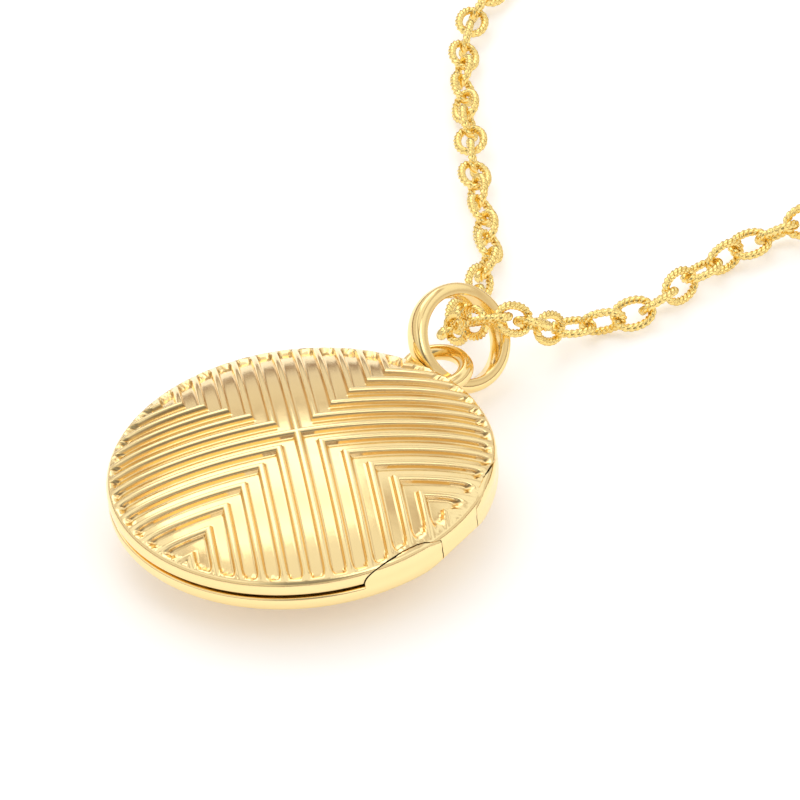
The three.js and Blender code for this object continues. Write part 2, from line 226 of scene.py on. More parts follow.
def make_camera():
    """A camera at the photo's viewpoint."""
    right, up = Vector(CAMERA_RIGHT), Vector(CAMERA_UP)
    back = right.cross(up).normalized()
    up = back.cross(right).normalized()
    data = bpy.data.cameras.new("camera")
    data.lens = CAMERA_LENS
    data.sensor_width = 36
    data.clip_start = 0.01
    data.clip_end = 10
    camera = bpy.data.objects.new("camera", data)
    place = Vector(ORIGIN) + Vector(CAMERA_PLACE) * MM
    camera.matrix_world = Matrix.Translation(place) @ Matrix((right, up, back)).transposed().to_4x4()
    bpy.context.scene.collection.objects.link(camera)
    bpy.context.scene.camera = camera


make_camera()

# ---------- chain ----------
CHAIN_WIDE = 1.9
TABLE_GAP = 0.02
LIE = CHAIN_WIDE / 2 + TABLE_GAP  # the height of the chain's middle where it lies on the table
LINK_PITCH = 1.72
LINK_HALF = 1.09  # half the length of a link's centre line
LINK_SIDE = 0.725  # half its width
COIL_CENTRE = (14.6, 51.5)
COIL_OUTER = 12.2
COIL_INNER = 8.4
LOW_LAYER = 1.3
HIGH_LAYER = 3.2

# each strand's way from the ring to the coil, from the locket's middle on the table
LEFT_ROUTE = [
    [0.27, 14.49, 3.35],
    [0.12, 14.52, 3.24],
    [-0.51, 14.64, 2.77],
    [-1.19, 14.76, 2.27],
    [-2.0, 15.6, 1.6],
    [-2.6, 17.1, 1.15],
    [-3.1, 18.9, LIE],
    [-3.64, 20.6, LIE],
    [-4.3, 22.4, LIE],
    [-5.8, 24.3, LIE],
    [-7.55, 26.2, LIE],
    [-9.2, 28.0, LIE],
    [-10.9, 30.1, LIE],
    [-13.2, 32.9, LIE],
    [-15.0, 35.0, LIE],
    [-16.5, 37.1, LIE],
    [-17.8, 39.2, LIE],
    [-18.9, 41.6, LIE],
    [-19.6, 44.4, LIE],
    [-19.3, 47.4, LIE],
    [-17.8, 50.4, LIE],
    [-14.9, 53.1, LIE],
    [-11.0, 55.2, LIE],
    [-6.5, 57.0, LIE],
    [-2.0, 58.8, LIE],
    [1.6, 60.4, 1.1],
    [4.35, 61.85, 1.25],
]
RIGHT_ROUTE = [
    [0.21, 14.51, 3.31],
    [0.36, 14.48, 3.42],
    [0.99, 14.36, 3.89],
    [1.67, 14.24, 4.39],
    [2.45, 14.9, 4.3],
    [2.8, 16.1, 3.4],
    [2.75, 17.4, 2.2],
    [2.9, 18.7, 1.25],
    [3.66, 20.1, LIE],
    [4.76, 21.2, LIE],
    [5.6, 22.7, LIE],
    [5.95, 24.6, LIE],
    [6.15, 26.6, LIE],
    [6.6, 28.6, LIE],
    [7.1, 30.4, LIE],
    [7.9, 32.0, LIE],
    [9.2, 33.8, 1.4],
    [11.2, 35.5, 2.4],
    [13.9, 36.85, 3.1],
]
# each strand's last part, inside the coil and from its centre
LEFT_END = [[8.05, -1.1, 1.3], [7.45, -1.75, 1.3], [6.65, -2.2, 1.28],
            [5.8, -2.55, 1.25], [5.3, -2.9, 1.15], [4.72, -3.15, 1.06], [4.0, -3.2, 1.05]]
RIGHT_END = [[8.0, 2.65, 3.2], [7.3, 3.45, 3.2], [6.3, 3.65, 3.12],
             [5.0, 3.7, 3.0], [4.2, 4.2, 2.55], [3.1, 4.3, 1.7], [1.95, 4.0, 1.05], [1.1, 3.85, 0.95]]


def coil_turns(start_angle, end_angle, start_r, z):
    """A point each 12 degrees or so of an inward spiral in one layer of the coil. It begins at radius
    start_r and joins the spiral within 45 degrees."""
    sweep = end_angle - start_angle
    count = int(abs(sweep) / 12)
    points = []
    for k in range(1, count):
        done = abs(sweep) * k / count
        r = max(COIL_INNER, COIL_OUTER - CHAIN_WIDE * done / 360)
        lead = max(0.0, 1 - done / 45)
        r += (start_r - COIL_OUTER) * lead * lead
        a = math.radians(start_angle + math.copysign(done, sweep))
        points.append([COIL_CENTRE[0] + r * math.cos(a), COIL_CENTRE[1] + r * math.sin(a), z])
    return points


def from_coil(points):
    """Points given from the coil's centre, in the model's millimetres."""
    return [[x + COIL_CENTRE[0], y + COIL_CENTRE[1], z] for x, y, z in points]


def sampled(points, step):
    """Evenly spaced points on a centripetal Catmull-Rom curve through the given ones, and its length."""
    p = np.array(points, dtype=float)
    t = np.concatenate([[0], np.cumsum(np.sqrt(np.linalg.norm(np.diff(p, axis=0), axis=1)))])
    dense = []
    ext = np.vstack([2 * p[0] - p[1], p, 2 * p[-1] - p[-2]])
    tt = np.concatenate([[2 * t[0] - t[1]], t, [2 * t[-1] - t[-2]]])
    for i in range(1, len(ext) - 2):
        p0, p1, p2, p3 = ext[i - 1:i + 3]
        t0, t1, t2, t3 = tt[i - 1:i + 3]
        for u in np.linspace(t1, t2, 24, endpoint=False):
            a1 = (t1 - u) / (t1 - t0) * p0 + (u - t0) / (t1 - t0) * p1
            a2 = (t2 - u) / (t2 - t1) * p1 + (u - t1) / (t2 - t1) * p2
            a3 = (t3 - u) / (t3 - t2) * p2 + (u - t2) / (t3 - t2) * p3
            b1 = (t2 - u) / (t2 - t0) * a1 + (u - t0) / (t2 - t0) * a2
            b2 = (t3 - u) / (t3 - t1) * a2 + (u - t1) / (t3 - t1) * a3
            dense.append((t2 - u) / (t2 - t1) * b1 + (u - t1) / (t2 - t1) * b2)
    dense.append(p[-1])
    dense = np.array(dense)
    s = np.concatenate([[0], np.cumsum(np.linalg.norm(np.diff(dense, axis=0), axis=1))])
    count = max(2, int(round(s[-1] / step)) + 1)
    at = np.linspace(0, s[-1], count)
    return np.stack([np.interp(at, s, dense[:, k]) for k in range(3)], 1), s[-1]


# about two turns each, the right strand on top of the left one and the other way round
LEFT_PATH = LEFT_ROUTE + coil_turns(134.4, 5 - 720, 14.55, LOW_LAYER) + from_coil(LEFT_END)
RIGHT_PATH = RIGHT_ROUTE + coil_turns(-92.7, 12 + 720, 14.66, HIGH_LAYER) + from_coil(RIGHT_END)

LOBES = 3  # strands twisted together
BUMPS = 19  # strand crossings seen round one link
WIRE_CORE = 0.15
WIRE_LOBE = 0.085


def link_mesh(fine):
    """One closed oval link of twisted wire, long side along X, lying in XY."""
    around = 15 if fine else 9
    steps = BUMPS * (5 if fine else 2)
    t = np.arange(steps) * 2 * math.pi / steps
    dense = np.linspace(0, 2 * math.pi, 2001)
    px = LINK_HALF * np.sign(np.cos(dense)) * np.abs(np.cos(dense)) ** 0.92
    py = LINK_SIDE * np.sign(np.sin(dense)) * np.abs(np.sin(dense)) ** 0.92
    s = np.concatenate([[0], np.cumsum(np.hypot(np.diff(px), np.diff(py)))])
    at = t / (2 * math.pi) * s[-1]
    centre = np.stack([np.interp(at, s, px), np.interp(at, s, py)], 1)
    ahead = np.roll(centre, -1, 0) - np.roll(centre, 1, 0)
    ahead /= np.linalg.norm(ahead, axis=1)[:, None]
    side = np.stack([ahead[:, 1], -ahead[:, 0]], 1)
    # the section turns with its lobes, which keeps the strands' edges crisp
    a = np.arange(around) * 2 * math.pi / around
    phase = a[None, :] + (t * BUMPS / LOBES)[:, None]
    radius = (WIRE_CORE + WIRE_LOBE * np.abs(np.cos(LOBES / 2 * a)))[None, :]
    u = radius * np.cos(phase)
    verts = np.zeros((steps, around, 3))
    verts[:, :, 0] = centre[:, None, 0] + side[:, None, 0] * u
    verts[:, :, 1] = centre[:, None, 1] + side[:, None, 1] * u
    verts[:, :, 2] = radius * np.sin(phase)
    # the last section joins the first with its points shifted by the leftover twist
    shift = int(round(BUMPS / LOBES * around)) % around
    faces = []
    for i in range(steps):
        j = (i + 1) % steps
        off = shift if j == 0 else 0
        for k in range(around):
            m = (k + 1) % around
            faces.append((i * around + k, i * around + m,
                          j * around + (m + off) % around, j * around + (k + off) % around))
    return verts.reshape(-1, 3), np.array(faces)


FINE_LINK = link_mesh(True)
COARSE_LINK = link_mesh(False)


END_GAP = 0.35  # from the last link to the path's end


def chain(name, route, lead, fine_count, rolls, seed):
    """A strand of links along the route from lead on, its path and its length, in metres.
    rolls gives the first links' turns about the route, in degrees, and the rest alternate."""
    path, length = sampled(route, 0.25)
    s = np.linspace(0, length, len(path))
    rng = np.random.default_rng(seed)
    count = int((length - lead) / LINK_PITCH) + 1
    pitch = (length - lead - END_GAP) / (count - 0.5)
    verts, faces, base = [], [], 0
    for i in range(count):
        at = lead + i * pitch
        ends = [np.array([np.interp(at + d, s, path[:, k]) for k in range(3)])
                for d in (-LINK_PITCH / 2, LINK_PITCH / 2)]
        middle = (ends[0] + ends[1]) / 2
        x = ends[1] - ends[0]
        x /= np.linalg.norm(x)
        z = np.array([0, 0, 1.0]) - x[2] * x
        z /= np.linalg.norm(z)
        y = np.cross(z, x)
        jitter = rng.normal(0, 5)
        if i < len(rolls):
            roll = math.radians(rolls[i] + 0.4 * jitter)
        else:
            roll = math.radians(45 + 90 * (i % 2) + jitter)
        y2 = math.cos(roll) * y + math.sin(roll) * z
        z2 = -math.sin(roll) * y + math.cos(roll) * z
        link_verts, link_faces = FINE_LINK if i < fine_count else COARSE_LINK
        points = link_verts @ np.stack([x, y2, z2], 1).T + middle
        low = points[:, 2].min()
        if low < TABLE_GAP:
            points[:, 2] += TABLE_GAP - low
        verts.append(points)
        faces.append(link_faces + base)
        base += len(points)
    obj = new_object(name, np.concatenate(verts), np.concatenate(faces), TABLE_ORIGIN)
    smooth(obj, 50)
    return obj, path * MM + TABLE_ORIGIN, length * MM


# how the links in view lie: a right angle or so apart, drifting as a loose chain does
LEFT_ROLLS = [101, 150, 60, 140, 55, 130, 48, 135, 45, 115, 15, 88, -5, 70, 145, 50, 125, 30,
              105, 20, 115, 30]
RIGHT_ROLLS = [78, 150, 67, 165, 80, -5, 105, 40, 136, 59, -19, 88, 20, 126, 55, 150]
left_chain, left_points, left_length = chain("chain_left", LEFT_PATH, 1.5, 34, LEFT_ROLLS, 3)
right_chain, right_points, right_length = chain("chain_right", RIGHT_PATH, 0.0, 20, RIGHT_ROLLS, 5)


# ---------- the two domed shells ----------
def smoothstep(x):
    """Eases from 0 to 1."""
    x = np.clip(x, 0, 1)
    return x * x * x * (x * (6 * x - 15) + 10)


def groove_depth(u, v, r, x, z):
    """How far the surface lies under the ridge tops."""
    m = np.minimum(np.abs(u), np.abs(v))
    k = np.minimum(np.round(m / PITCH), RIDGES + 1)
    from_ridge = np.abs(m - k * PITCH) - RIDGE_HALF
    from_rim = RIM_EASE * np.minimum(GROOVE_END - 0.02 - r, np.hypot(x - HINGE_X, z) - HINGE_LAND)
    a = np.clip(1 - from_ridge / GROOVE_CORNER, 0, None)
    b = np.clip(1 - from_rim / GROOVE_CORNER, 0, None)
    inside = GROOVE_CORNER * (1 - np.hypot(np.minimum(a, 2), np.minimum(b, 2)))
    inside = np.where((a < 1) & (b < 1), inside, np.minimum(from_ridge, from_rim))
    crown = 0.02 * np.clip((RIDGE_HALF + from_ridge) / RIDGE_HALF, 0, 1) ** 2
    return GROOVE_DEEP * smoothstep(inside / GROOVE_WALL) + crown * (from_rim > 0)


def grid_lines():
    """Where the mesh's lines lie, both ways: close together at the sides of each ridge."""
    lines = [0.0]
    for k in range(RIDGES + 1):
        for d in (0.06, 0.105, 0.145, 0.185, 0.23, 0.285, 0.36, 0.46):
            if k:
                lines.append(k * PITCH - d)
            lines.append(k * PITCH + d)
        if k:
            lines.append(k * PITCH)
    last = max(lines)
    while last < GROOVE_END + 0.1:
        last += 0.17
        lines.append(last)
    lines = np.array(sorted(lines))
    return np.concatenate([-lines[:0:-1], lines])


def ribbed_disc():
    """The ribbed disc laid flat: its points along and across the ridges, its faces,
    and the number of its first point on the edge, which are the last ones."""
    g = grid_lines()
    U, V = np.meshgrid(g, g, indexing="ij")
    inside = np.hypot(U, V) < GROOVE_END - 1e-6
    total = int(inside.sum())
    index = -np.ones(inside.shape, dtype=int)
    index[inside] = np.arange(total)
    known = {}
    edge = []

    def crossing(i0, j0, i1, j1):
        """The number of the point where a grid line leaves the circle."""
        key = min((i0, j0, i1, j1), (i1, j1, i0, j0))
        if key not in known:
            a = np.array([g[key[0]], g[key[1]]])
            b = np.array([g[key[2]], g[key[3]]])
            if abs(a[0] - b[0]) < 1e-12:
                point = (a[0], math.copysign(math.sqrt(GROOVE_END ** 2 - a[0] ** 2), a[1] + b[1]))
            else:
                point = (math.copysign(math.sqrt(GROOVE_END ** 2 - a[1] ** 2), a[0] + b[0]), a[1])
            known[key] = total + len(edge)
            edge.append(point)
        return known[key]

    faces = []
    all_in = inside[:-1, :-1] & inside[1:, :-1] & inside[1:, 1:] & inside[:-1, 1:]
    any_in = inside[:-1, :-1] | inside[1:, :-1] | inside[1:, 1:] | inside[:-1, 1:]
    for i, j in zip(*np.nonzero(all_in)):
        a, b, c, d = index[i, j], index[i + 1, j], index[i + 1, j + 1], index[i, j + 1]
        # each square is split along the way that the chevrons' corners run
        if (g[i] + g[i + 1]) * (g[j] + g[j + 1]) > 0:
            faces += [(a, b, c), (a, c, d)]
        else:
            faces += [(a, b, d), (b, c, d)]
    for i, j in zip(*np.nonzero(any_in & ~all_in)):
        corners = [(i, j), (i + 1, j), (i + 1, j + 1), (i, j + 1)]
        poly = []
        for k in range(4):
            p, q = corners[k], corners[(k + 1) % 4]
            if inside[p]:
                poly.append(index[p])
            if inside[p] != inside[q]:
                poly.append(crossing(*p, *q))
        if len(poly) >= 3:
            faces.append(tuple(poly))
    return np.concatenate([np.stack([U[inside], V[inside]], 1), np.array(edge)]), faces, total


def inner_outline(front):
    """(radius, height) from the ribs' edge over the rim and the seam's face into the hollow."""
    outline = [(9.86, 0.845), (9.915, 0.775), (9.955, 0.69), (9.985, 0.58), (RIM_R, 0.46), (RIM_R, 0.24),
               (9.985, 0.17), (9.945, 0.12), (9.88, SEAM_HALF)]
    if front:
        low, high = LIP_GROOVE
        outline += [(high, SEAM_HALF), (high, LIP_GROOVE_HIGH), (low, LIP_GROOVE_HIGH), (low, SEAM_HALF)]
    outline += [(SEAT_R + 0.04, SEAM_HALF), (SEAT_R, SEAM_HALF + 0.04), (SEAT_R, SEAT_HIGH),
                (HOLLOW_R, SEAT_HIGH)]
    for radius in (HOLLOW_R, 6.0, 4.5, 3.2, 1.8, 0.7):
        outline.append((radius, float(dome_at(radius)) - (GROOVE_DEEP + WALL)))
    return outline


def shell_mesh(front):
    """A closed, ribbed half shell, and how much painted shade each point gets, 0 to 1, most three quarters
    of the way down a groove's wall, near its fold.
    """
    uv, faces, first_edge = ribbed_disc()
    turn = math.pi / 4
    x = uv[:, 0] * math.cos(turn) - uv[:, 1] * math.sin(turn)
    y = uv[:, 0] * math.sin(turn) + uv[:, 1] * math.cos(turn)
    r = np.hypot(x, y)
    z = dome_at(r)
    depth = groove_depth(uv[:, 0], uv[:, 1], r, x, z)
    slope = np.clip(r / DOME_EDGE_R, 0, 1) * 0.35
    out_x, out_y = x / np.maximum(r, 1e-9), y / np.maximum(r, 1e-9)
    verts = np.stack([x - out_x * depth * slope, y - out_y * depth * slope, z - depth], 1)
    # painted shade: a band three quarters of the way down each groove's wall, which the material darkens
    crease = np.exp(-((depth / GROOVE_DEEP - 0.75) / 0.22) ** 2)

    edge = np.arange(first_edge, len(uv))
    angle = np.arctan2(y[edge], x[edge])
    previous = edge[np.argsort(angle)]
    theta = np.sort(angle)
    columns = len(theta)
    stack = [verts]
    base = len(verts)
    for radius, height in inner_outline(front):
        stack.append(np.stack([radius * np.cos(theta), radius * np.sin(theta), np.full(columns, height)], 1))
        ids = np.arange(base, base + columns)
        base += columns
        for k in range(columns):
            m = (k + 1) % columns
            faces.append((previous[k], ids[k], ids[m], previous[m]))
        previous = ids
    stack.append(np.array([[0, 0, DOME_HIGH - (GROOVE_DEEP + WALL)]]))
    for k in range(columns):
        faces.append((previous[k], base, previous[(k + 1) % columns]))
    verts = np.concatenate(stack)
    crease = np.concatenate([crease, np.zeros(len(verts) - len(crease))])
    if not front:
        verts = verts * np.array([1, -1, -1])
    return verts, faces, crease


def closed_outline():
    """The plain closed locket, both domes, for trimming the knuckles."""
    half = [(9.98, 0.0), (10.0, 0.2), (10.0, 0.46), (9.985, 0.58), (9.955, 0.69), (9.915, 0.775),
            (9.86, 0.845), (9.8, float(dome_at(9.8)))]
    half += [(r, float(dome_at(r))) for r in (9.5, 9.0, 8.0, 6.5, 4.0)]
    outline = [(r, -z) for r, z in half[:0:-1]] + half
    outline = [(0.02, -DOME_HIGH)] + outline + [(0.02, DOME_HIGH)]
    return lathe_mesh(outline, 192)


def knuckle(y0, y1):
    """A length of the hinge's barrel, trimmed to the locket's outline."""
    part = new_object("knuckle", *bar(BARREL_R, y0, y1, 128), None)
    return cut(part, closed_outline(), "INTERSECT")


def build_shell(name, front):
    """One shell with its knuckles, pin hole, nail notch and, on the back, its closing lip."""
    verts, faces, crease = shell_mesh(front)
    obj = new_object(name, verts, faces, None)
    # the painted groove shade is stored on the points for the material to read
    layer = obj.data.attributes.new("crease", "FLOAT", "POINT")
    layer.data.foreach_set("value", crease.astype(np.float32))
    if front:
        cut(obj, bar(BARREL_ROOM, KNUCKLE_ROOM, 12), "DIFFERENCE")
        cut(obj, bar(BARREL_ROOM, -12, -KNUCKLE_ROOM), "DIFFERENCE")
        cut(obj, knuckle(-KNUCKLE_HALF, KNUCKLE_HALF), "UNION")
    else:
        lip = new_object("lip", *lathe_mesh([(8.3, -0.25), (8.7, -0.25), (8.7, 0.4), (8.65, 0.45),
                                             (8.35, 0.45), (8.3, 0.4)], 192), None)
        cut(lip, block(7.4, 12, -12, 12, -2, 2), "DIFFERENCE")
        cut(obj, lip, "UNION")
        cut(obj, bar(BARREL_ROOM, -KNUCKLE_ROOM, KNUCKLE_ROOM), "DIFFERENCE")
        cut(obj, block(HINGE_X - 0.1, RIM_R + 1, -SWEEP_HALF, SWEEP_HALF, -DOME_HIGH, 0), "DIFFERENCE")
        cut(obj, knuckle(KNUCKLE_OUTER, KNUCKLE_END), "UNION")
        cut(obj, knuckle(-KNUCKLE_END, -KNUCKLE_OUTER), "UNION")
    cut(obj, bar(PIN_HOLE_R, -PIN_HOLE_HALF, PIN_HOLE_HALF, 32), "DIFFERENCE")
    cut(obj, ball(NOTCH_R, (-NOTCH_X, 0, 0)), "DIFFERENCE")
    placed(obj)
    smooth(obj, 42)
    return obj


front_shell = build_shell("locket_front", True)
back_shell = build_shell("locket_back", False)


# ---------- bail ring, bail loop, photo frames, clasp and end ring ----------
RING_AXIS = (0.794, -0.147, 0.59)
RING_CENTRE = (0.25, 13.486, 0.111)
LOOP_CENTRE = (0.3, 11.25, -0.45)

# half of the band's outline, from the middle of its inside to its crown
ring_half = [(2.22, 0.0), (2.22, -0.5), (2.235, -0.57), (2.28, -0.615), (2.38, -0.625),
             (2.56, -0.62), (2.7, -0.59), (2.82, -0.525), (2.89, -0.415), (2.93, -0.27), (2.95, -0.1)]
ring_outline = ring_half + [(r, -z) for r, z in ring_half[:0:-1]]
ring_verts, ring_faces = lathe_mesh(ring_outline, 192)
bail_ring = new_object("ring_band", turned(ring_verts, RING_AXIS, RING_CENTRE), ring_faces)
smooth(bail_ring, 32)


def torus(major, wire, around, along):
    """A round wire bent to a ring about Z, as points and faces."""
    section = [(major + wire * math.cos(a), wire * math.sin(a))
               for a in np.arange(around) * 2 * math.pi / around]
    return lathe_mesh(section, along)


loop_verts, loop_faces = torus(1.55, 0.42, 32, 128)
bail_loop = new_object("loop_wire", loop_verts + np.array(LOOP_CENTRE), loop_faces)
smooth(bail_loop, 60)


def frame_ring(name, side):
    """A photo frame with rounded edges, in the front half or, with side -1, in the back half."""
    low, high, inner, outer = 0.5, 0.9, 6.8, 7.65
    outline = [(inner, high), (inner, low + 0.14), (inner + 0.03, low + 0.06), (inner + 0.1, low + 0.01),
               (inner + 0.2, low), (outer - 0.14, low), (outer - 0.05, low + 0.03), (outer, low + 0.1),
               (outer, high)]
    verts, faces = lathe_mesh(outline, 160)
    if side < 0:
        verts = verts * np.array([1, -1, -1])
    obj = new_object(name, verts, faces)
    smooth(obj, 40)
    return obj


front_frame = frame_ring("photo_frame_front", 1)
back_frame = frame_ring("photo_frame_back", -1)


def rescale(mesh, factor):
    """Multiplies a mesh's coordinates."""
    points = np.zeros(len(mesh.vertices) * 3)
    mesh.vertices.foreach_get("co", points)
    mesh.vertices.foreach_set("co", points * factor)
    mesh.update()


def from_node(name, node, voxel, rounds):
    """A copy of a CAD node with its edges rounded, as cast metal has them."""
    mesh = frame["nodes"][node].data.copy()
    rescale(mesh, 1 / MM)
    mesh.materials.clear()
    obj = bpy.data.objects.new(name, mesh)
    bpy.context.scene.collection.objects.link(obj)
    remesh = obj.modifiers.new("remesh", "REMESH")
    remesh.mode = "VOXEL"
    remesh.voxel_size = voxel
    soften = obj.modifiers.new("soften", "SMOOTH")
    soften.factor = 0.5
    soften.iterations = rounds
    baked(obj)
    rescale(obj.data, MM)
    smooth(obj, 60)
    return obj


def middle_of(node):
    """The middle of a CAD node's box, in metres."""
    low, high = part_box(node)
    return (np.array(low) + np.array(high)) / 2


clasp_body = from_node("clasp_hook", "clasp_body", 0.07, 4)
clasp_lever = from_node("clasp_trigger", "clasp_lever", 0.05, 3)

jump_verts, jump_faces = torus(0.8, 0.2, 20, 64)
jump_verts = turned(jump_verts, (0, 1, 0), (0, 0, 0))
clasp_ring = new_object("clasp_jump_ring", jump_verts, jump_faces, middle_of("clasp_ring"))
smooth(clasp_ring, 60)

end_half = [(1.4, -0.18), (1.43, -0.25), (1.5, -0.3), (1.9, -0.3), (1.97, -0.25), (2.0, -0.18)]
end_verts, end_faces = lathe_mesh(end_half + [(r, -z) for r, z in end_half[::-1]], 96)
end_ring = new_object("chain_end_ring", end_verts, end_faces, middle_of("end_ring"))
smooth(end_ring, 40)


def paper_band():
    """The band round the coil: a rounded rectangle tube with eased edges."""
    low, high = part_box("coil_tie")
    low, high = np.array(low) / MM, np.array(high) / MM
    thick, corner, ease = 0.25, 0.5, 0.03

    def loop_points(inset, radius):
        """The tube's outline in XZ, inset from the CAD piece's box."""
        x0, x1 = low[0] + inset, high[0] - inset
        z0, z1 = low[2] + inset, high[2] - inset
        points = []
        for cx, cz, start in ((x1 - radius, z0 + radius, -90), (x1 - radius, z1 - radius, 0),
                              (x0 + radius, z1 - radius, 90), (x0 + radius, z0 + radius, 180)):
            for k in range(7):
                a = math.radians(start + 15 * k)
                points.append((cx + radius * math.cos(a), cz + radius * math.sin(a)))
        return points

    outer, inner = loop_points(0.0, corner), loop_points(thick, corner - thick)
    n = len(outer)
    y0, y1 = low[1], high[1]
    centre = np.mean(outer, axis=0)
    verts = []
    for y, inset in ((y0, ease), (y0 + ease, 0.0), (y1 - ease, 0.0), (y1, ease)):
        for p in outer:
            q = np.array(p) + (centre - np.array(p)) / np.linalg.norm(centre - np.array(p)) * inset
            verts.append((q[0], y, q[1]))
    for y in (y1, y0):
        for p in inner:
            verts.append((p[0], y, p[1]))
    faces = []
    for ring in range(6):
        nxt = (ring + 1) % 6
        for k in range(n):
            m = (k + 1) % n
            faces.append((ring * n + k, ring * n + m, nxt * n + m, nxt * n + k))
    obj = new_object("coil_band", verts, faces, np.zeros(3))
    smooth(obj, 40)
    return obj


band = paper_band()


# ---------- materials ----------
MIX_A, MIX_B, MIX_RESULT = 6, 7, 2  # a Mix node's colour sockets
# painted shade for the grooves: the dark amber and how much of it is mixed in
GROOVE_SHADE_GOLD = (0.62, 0.32, 0.08)
GROOVE_SHADE_AMOUNT = 0.9
WEAR_DEEP = 0.00003


def finish(name, light, dark, rough, bump, scale, metallic=1.0, groove_shaded=False):
    """A surface with slight changes of colour and polish and fine wear. With the last flag set, it gets
    painted shade: darker, towards a dark amber, where the mesh's attribute for painted groove shade is high."""
    material = bpy.data.materials.new(name)
    material.use_nodes = True
    nodes, links = material.node_tree.nodes, material.node_tree.links
    shader = nodes["Principled BSDF"]
    shader.inputs["Metallic"].default_value = metallic
    where = nodes.new("ShaderNodeTexCoord")

    def noise(noise_scale, detail):
        node = nodes.new("ShaderNodeTexNoise")
        node.inputs["Scale"].default_value = noise_scale
        node.inputs["Detail"].default_value = detail
        links.new(where.outputs["Object"], node.inputs["Vector"])
        return node.outputs["Fac"]

    def towards(colour, amount):
        node = nodes.new("ShaderNodeMix")
        node.data_type = "RGBA"
        node.inputs[MIX_B].default_value = (*colour, 1)
        links.new(amount, node.inputs[0])
        return node

    tint = towards(dark, noise(scale, 3))
    tint.inputs[MIX_A].default_value = (*light, 1)
    # painted shade: the colour goes towards dark amber where the groove attribute is high
    if groove_shaded:
        layer = nodes.new("ShaderNodeAttribute")
        layer.attribute_name = "crease"
        amount = nodes.new("ShaderNodeMath")
        amount.operation = "MULTIPLY"
        amount.inputs[1].default_value = GROOVE_SHADE_AMOUNT
        links.new(layer.outputs["Fac"], amount.inputs[0])
        groove_shade_mix = towards(GROOVE_SHADE_GOLD, amount.outputs[0])
        links.new(tint.outputs[MIX_RESULT], groove_shade_mix.inputs[MIX_A])
        tint = groove_shade_mix
    links.new(tint.outputs[MIX_RESULT], shader.inputs["Base Color"])
    fine = noise(scale * 6, 5)
    polish = nodes.new("ShaderNodeMapRange")
    polish.inputs["From Min"].default_value = 0.3
    polish.inputs["From Max"].default_value = 0.7
    polish.inputs["To Min"].default_value = rough * 0.75
    polish.inputs["To Max"].default_value = rough * 1.3
    links.new(fine, polish.inputs["Value"])
    links.new(polish.outputs["Result"], shader.inputs["Roughness"])
    relief = nodes.new("ShaderNodeBump")
    relief.inputs["Strength"].default_value = bump
    relief.inputs["Distance"].default_value = WEAR_DEEP
    links.new(fine, relief.inputs["Height"])
    links.new(relief.outputs["Normal"], shader.inputs["Normal"])
    return material


# the ribbed gold has painted shade in its grooves
SHELL_GOLD = finish("ribbed_gold", (1.0, 0.82, 0.44), (0.98, 0.76, 0.36), 0.16, 0.25, 220, groove_shaded=True)
SMOOTH_GOLD = finish("smooth_gold", (1.0, 0.80, 0.40), (0.97, 0.73, 0.31), 0.12, 0.12, 300)
WIRE_GOLD = finish("wire_gold", (1.0, 0.79, 0.32), (0.98, 0.72, 0.23), 0.13, 0.2, 500)
STEEL = finish("spring_grey", (0.6, 0.6, 0.6), (0.5, 0.5, 0.5), 0.35, 0.2, 400)
PAPER = finish("paper", (0.9, 0.87, 0.78), (0.82, 0.78, 0.68), 0.85, 0.8, 900, metallic=0.0)


def dress(obj, material):
    """Gives the whole object one material."""
    obj.data.materials.clear()
    obj.data.materials.append(material)
    for polygon in obj.data.polygons:
        polygon.material_index = 0


# object, the CAD node it replaces, its body, its slot and its material
PIECES = [
    (front_shell, "front_shell", "cover", "polished_gold", SHELL_GOLD),
    (back_shell, "back_shell", "locket", "polished_gold", SHELL_GOLD),
    (front_frame, "front_photo_frame", "cover", "polished_gold", SMOOTH_GOLD),
    (back_frame, "back_photo_frame", "locket", "polished_gold", SMOOTH_GOLD),
    (bail_loop, "bail_loop", "locket", "polished_gold", SMOOTH_GOLD),
    (bail_ring, "bail_ring", "bail", "polished_gold", SMOOTH_GOLD),
    (clasp_body, "clasp_body", "necklace", "polished_gold", SMOOTH_GOLD),
    (clasp_lever, "clasp_lever", "lever", "polished_gold", SMOOTH_GOLD),
    (clasp_ring, "clasp_ring", "necklace", "gold_wire", SMOOTH_GOLD),
    (end_ring, "end_ring", "necklace", "polished_gold", SMOOTH_GOLD),
    (band, "coil_tie", "necklace", "paper_band", PAPER),
]
for piece, node, body, slot, material in PIECES:
    dress(piece, material)
    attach(piece, body)
    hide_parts(node)
for strand, nodes in ((left_chain, ("chain_strand_left", "chain_end_left", "chain_coil")),
                      (right_chain, ("chain_strand_right", "chain_end_right"))):
    dress(strand, WIRE_GOLD)
    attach(strand, "necklace")
    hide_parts(*nodes)
for node, material in (("hinge_pin", SMOOTH_GOLD), ("clasp_rivet", SMOOTH_GOLD), ("clasp_spring", STEEL)):
    obj = frame["nodes"][node]
    for slot in obj.material_slots:
        slot.material = material


# ---------- floor, world and lights ----------
TABLE_SIZE = 1.6
TABLE_SQUARES = 24
TABLE_DROP = 0.00002  # keeps the table clear of what rests on it
TABLE_GLOW = 0.25

# (height, brightness) of the room that the gold reflects, from below (0) through level (0.5) to above (1)
ROOM_BANDS = [(0.0, 0.9), (0.5, 0.06), (0.53, 0.15), (0.58, 0.75), (0.68, 0.75), (0.72, 0.5), (0.76, 0.95),
              (0.88, 1.1), (0.92, 0.4), (0.96, 0.95)]
DIM_RED, DIM_GREEN = 0.6, 0.82  # powers that keep the dim bands warm
DARK_WAY = (0.521, -0.606, 0.601)  # towards a dark patch of the room, as where a photographer stands
DARK_FROM, DARK_FULL, DARKEST = 0.86, 0.97, 0.3


